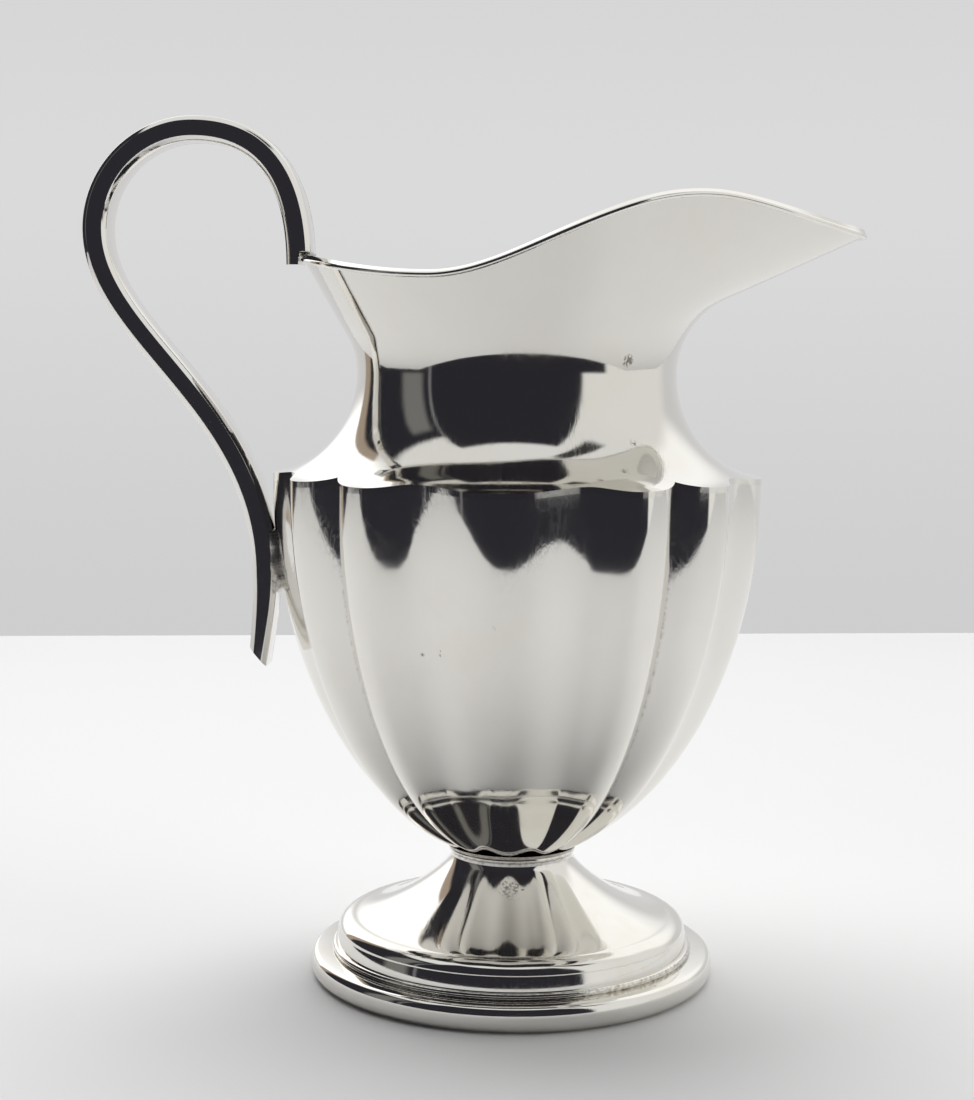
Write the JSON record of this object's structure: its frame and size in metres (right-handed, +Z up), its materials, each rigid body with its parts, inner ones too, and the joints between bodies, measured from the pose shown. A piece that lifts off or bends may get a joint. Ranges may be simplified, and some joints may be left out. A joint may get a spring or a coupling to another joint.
{
  "type": "cream jug",
  "caption": "Silver cream jug: lobed bowl on a round spun foot, plain neck flaring to a high spout, looped strap handle.",
  "frame": {"origin": "centre of the foot ring, on the plane it stands on", "axes": "+Z up along the axis of foot and bowl, +X from the axis towards the tip of the spout, handle towards -X"},
  "size_m": [0.0969, 0.0612, 0.1075],
  "materials": {
    "silver_body": "raised sterling sheet, bright hand polish with fine wear scratches",
    "silver_wire": "drawn half round silver wire, polished",
    "silver_foot": "spun silver sheet and moulded ring, polished, slight tarnish in the quirks",
    "silver_handle": "flat drawn strap with bevelled edges, polished",
    "silver_solder": "silver solder, dull and slightly pitted"
  },
  "bodies": {
    "root": {"bowl": "silver_body", "neck_and_spout": "silver_body", "rim_wire": "silver_wire", "shoulder_solder": "silver_solder", "foot_collet": "silver_foot", "foot_solder": "silver_solder", "foot_shell": "silver_foot", "foot_ring": "silver_foot", "foot_ring_solder": "silver_solder", "handle": "silver_handle", "handle_top_solder": "silver_solder", "handle_tail_solder": "silver_solder"}
  },
  "joints": []
}
